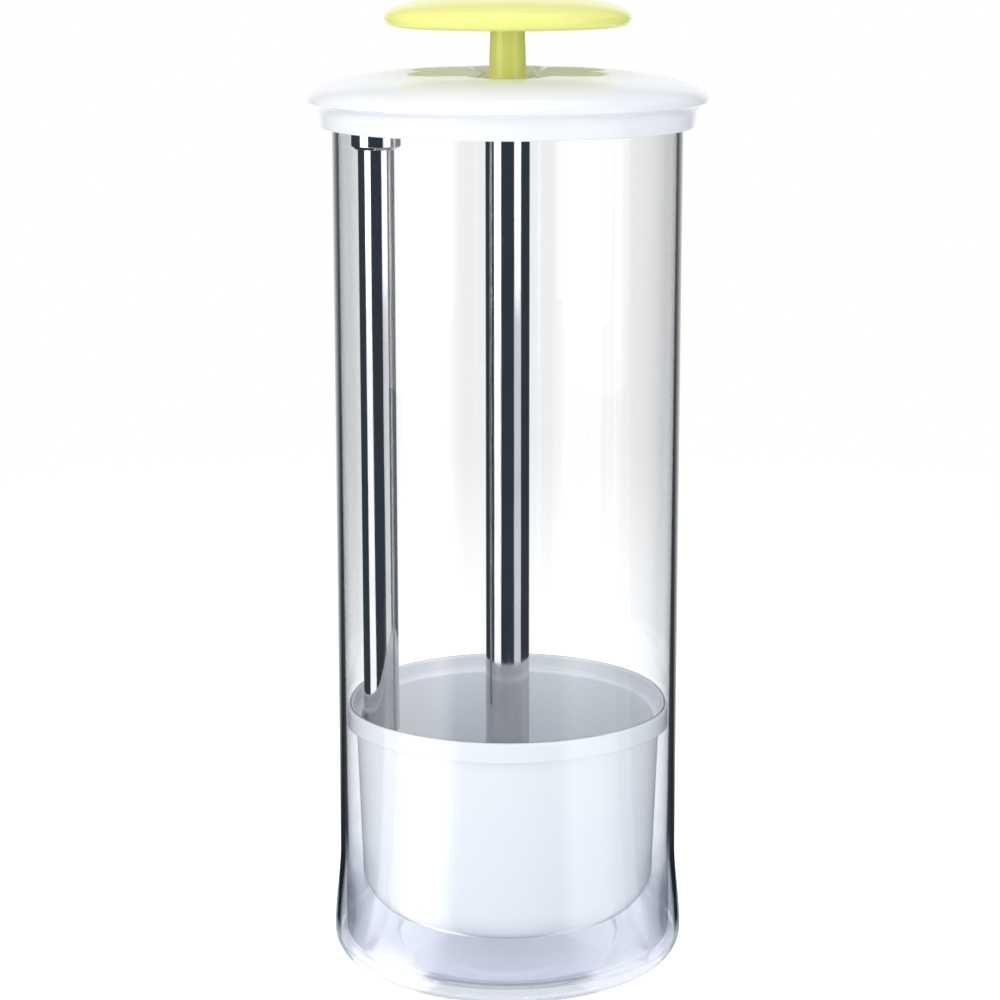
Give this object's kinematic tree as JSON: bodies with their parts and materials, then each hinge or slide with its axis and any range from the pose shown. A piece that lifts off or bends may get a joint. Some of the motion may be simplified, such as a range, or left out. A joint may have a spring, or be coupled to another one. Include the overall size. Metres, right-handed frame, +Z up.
{
  "type": "herb keeper",
  "caption": "Tall clear glass jar for fresh herbs with a domed lid, a disc handle, and a water basket that hangs inside on a steel tube and lifts out with the lid.",
  "frame": {"origin": "centre of the ring that the jar stands on", "axes": "+Z up along the jar's axis, -Y the front in the picture, the filler tube on the -X side"},
  "size_m": [0.1142, 0.1142, 0.2846],
  "materials": {
    "clear_glass": "clear, fire-polished edges",
    "lid_white": "glossy moulded white",
    "tray_white": "satin moulded white",
    "basket_white": "glossy moulded white",
    "handle_yellow": "glossy pale yellow",
    "tube_steel": "polished stainless steel",
    "screw_steel": "plain stainless steel",
    "insert_brass": "turned brass",
    "plug_grey": "moulded grey",
    "silicone": "matt pale silicone"
  },
  "bodies": {
    "vessel": {"glass_vessel": "clear_glass"},
    "seal": {"lid_seal": "silicone"},
    "lid": {"lid_shell": "lid_white", "lid_tray": "tray_white", "tray_screws": "screw_steel", "stem_gasket": "silicone", "tie_stud": "screw_steel", "centre_tube": "tube_steel", "tube_top_plug": "plug_grey", "tube_foot_plug": "plug_grey", "water_basket": "basket_white", "basket_gasket": "silicone", "basket_washer": "screw_steel", "basket_screw": "screw_steel", "filler_tube": "tube_steel", "filler_collar": "tube_steel", "filler_seal": "silicone"},
    "handle": {"handle_disc": "handle_yellow", "handle_underplate": "handle_yellow", "handle_stem": "handle_yellow", "stem_insert": "insert_brass"}
  },
  "joints": [
    {"name": "insert_lift", "type": "slide", "parent": "vessel", "child": "seal", "axis": [0, 0, 1], "range_m": [0, 0.262]},
    {"name": "insert_turn", "type": "hinge", "parent": "seal", "child": "lid", "pos_m": [0, 0, 0.2546], "axis": [0, 0, 1], "continuous": true},
    {"name": "handle_unscrew", "type": "hinge", "parent": "lid", "child": "handle", "pos_m": [0, 0, 0.2626], "axis": [0, 0, 1], "continuous": true}
  ]
}
